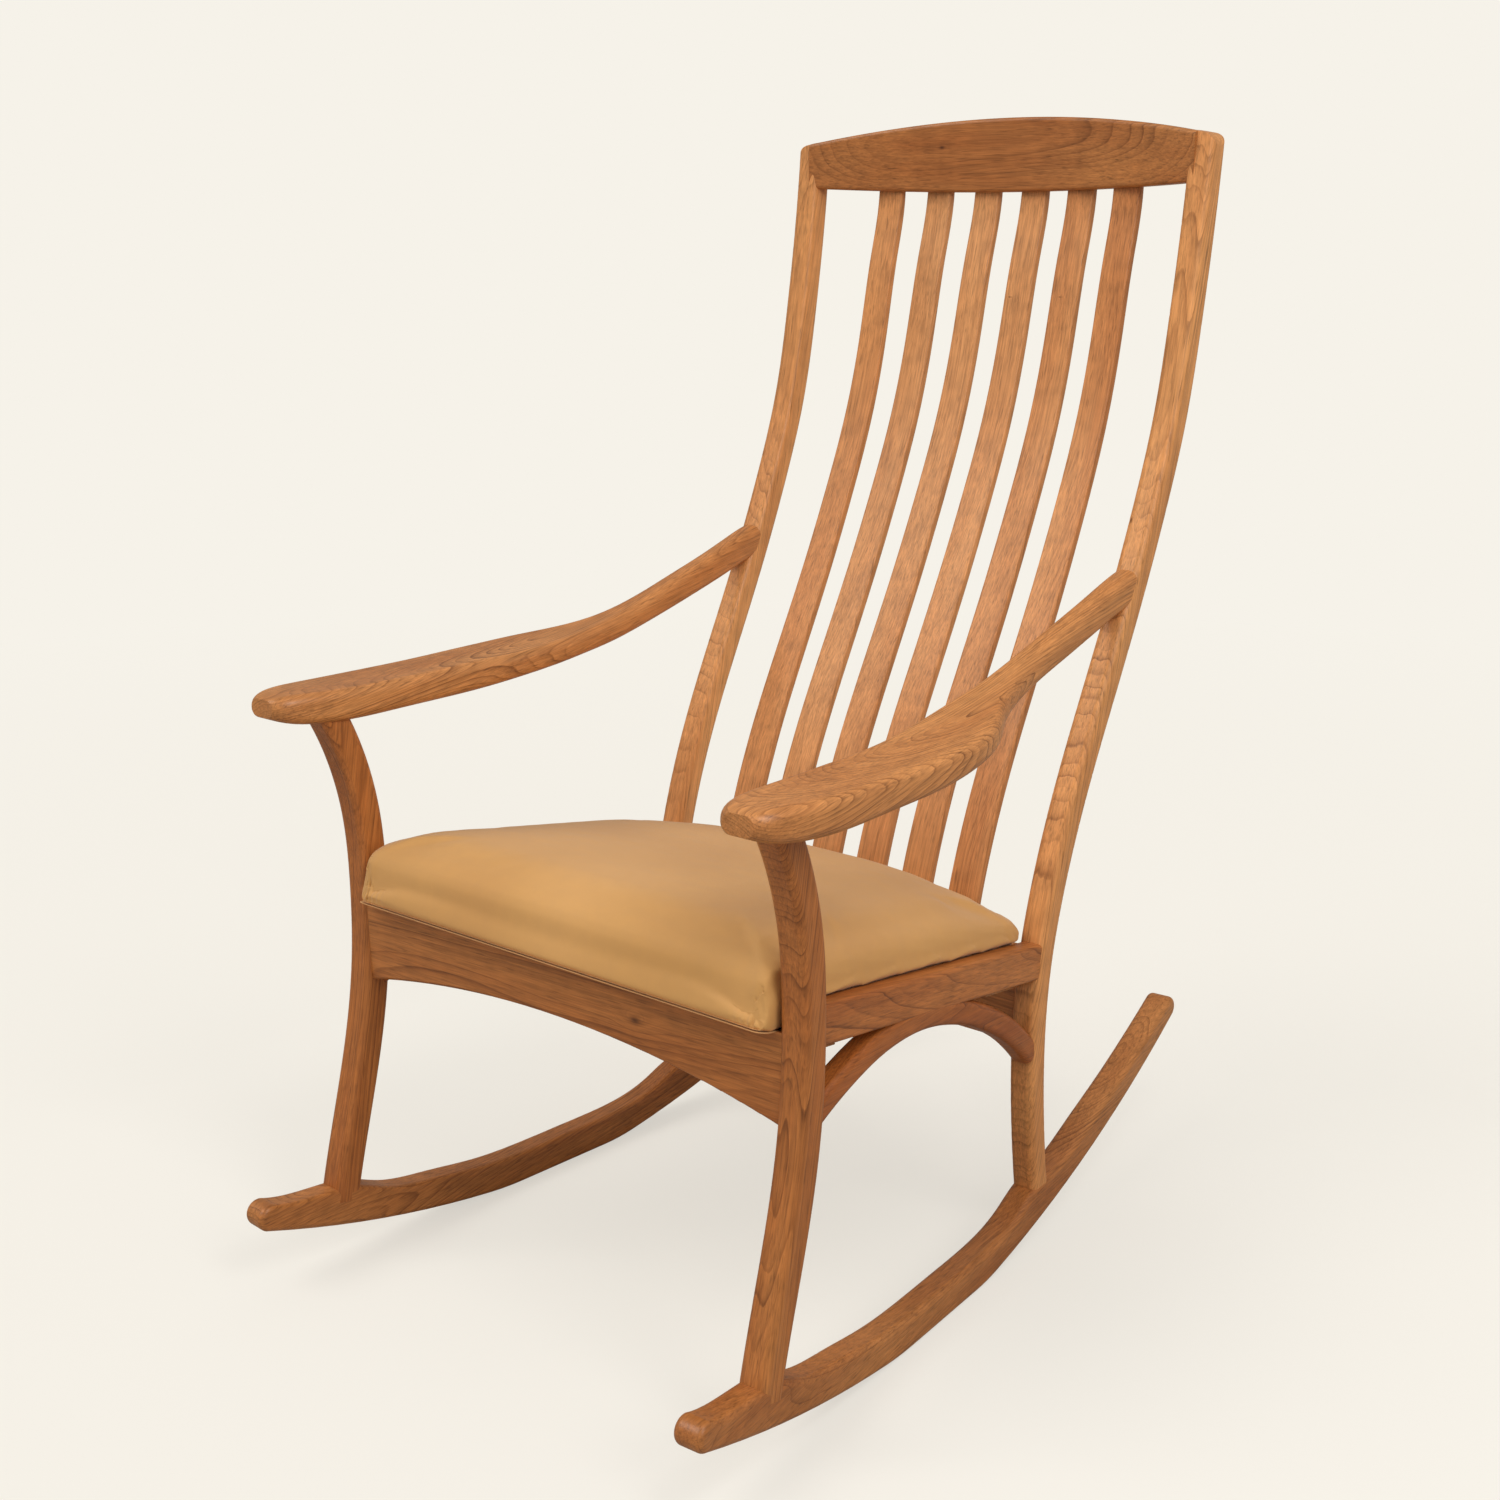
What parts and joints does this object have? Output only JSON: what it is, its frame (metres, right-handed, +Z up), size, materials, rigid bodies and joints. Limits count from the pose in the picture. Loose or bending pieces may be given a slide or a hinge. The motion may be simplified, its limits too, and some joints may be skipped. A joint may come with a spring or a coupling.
{
  "type": "rocking chair",
  "caption": "High-backed wooden rocking chair with a curved slatted back, sculpted arms, arched side braces, splayed rockers and an upholstered slip seat.",
  "frame": {"origin": "on the floor, under the middle of the chair's overall width and depth", "axes": "+Z up; the chair faces -Y; +X is the sitter's left"},
  "size_m": [0.6538, 0.8992, 1.127],
  "materials": {
    "frame_wood": "satin oiled reddish-tan hardwood with cathedral grain",
    "slat_wood": "satin oiled reddish-tan hardwood with straight fine grain",
    "dowel_wood": "plain birch",
    "block_wood": "plain sanded hardwood",
    "seat_board": "plywood",
    "seat_foam": "open-cell foam",
    "seat_fabric": "smooth tan upholstery, matt with a soft sheen",
    "screw_steel": "zinc plated"
  },
  "bodies": {
    "root": {"arm_post_dowels": "dowel_wood", "back_slat_1": "slat_wood", "back_slat_2": "slat_wood", "back_slat_3": "slat_wood", "back_slat_4": "slat_wood", "back_slat_5": "slat_wood", "back_slat_6": "slat_wood", "brace_dowels": "dowel_wood", "corner_block_screws": "screw_steel", "crest_dowels": "dowel_wood", "crest_rail": "frame_wood", "front_rail_dowels": "dowel_wood", "front_seat_rail": "frame_wood", "left_arch_brace": "frame_wood", "left_arm": "frame_wood", "left_back_post": "frame_wood", "left_front_corner_block": "block_wood", "left_front_leg": "frame_wood", "left_rear_corner_block": "block_wood", "left_rocker": "frame_wood", "left_side_rail": "frame_wood", "leg_arm_dowels": "dowel_wood", "leg_rocker_dowels": "dowel_wood", "post_rocker_dowels": "dowel_wood", "rear_rail_dowels": "dowel_wood", "rear_seat_rail": "frame_wood", "right_arch_brace": "frame_wood", "right_arm": "frame_wood", "right_back_post": "frame_wood", "right_front_corner_block": "block_wood", "right_front_leg": "frame_wood", "right_rear_corner_block": "block_wood", "right_rocker": "frame_wood", "right_side_rail": "frame_wood", "seat_board": "seat_board", "seat_cover": "seat_fabric", "seat_foam": "seat_foam", "seat_screws": "screw_steel", "side_rail_dowels": "dowel_wood"}
  },
  "joints": []
}
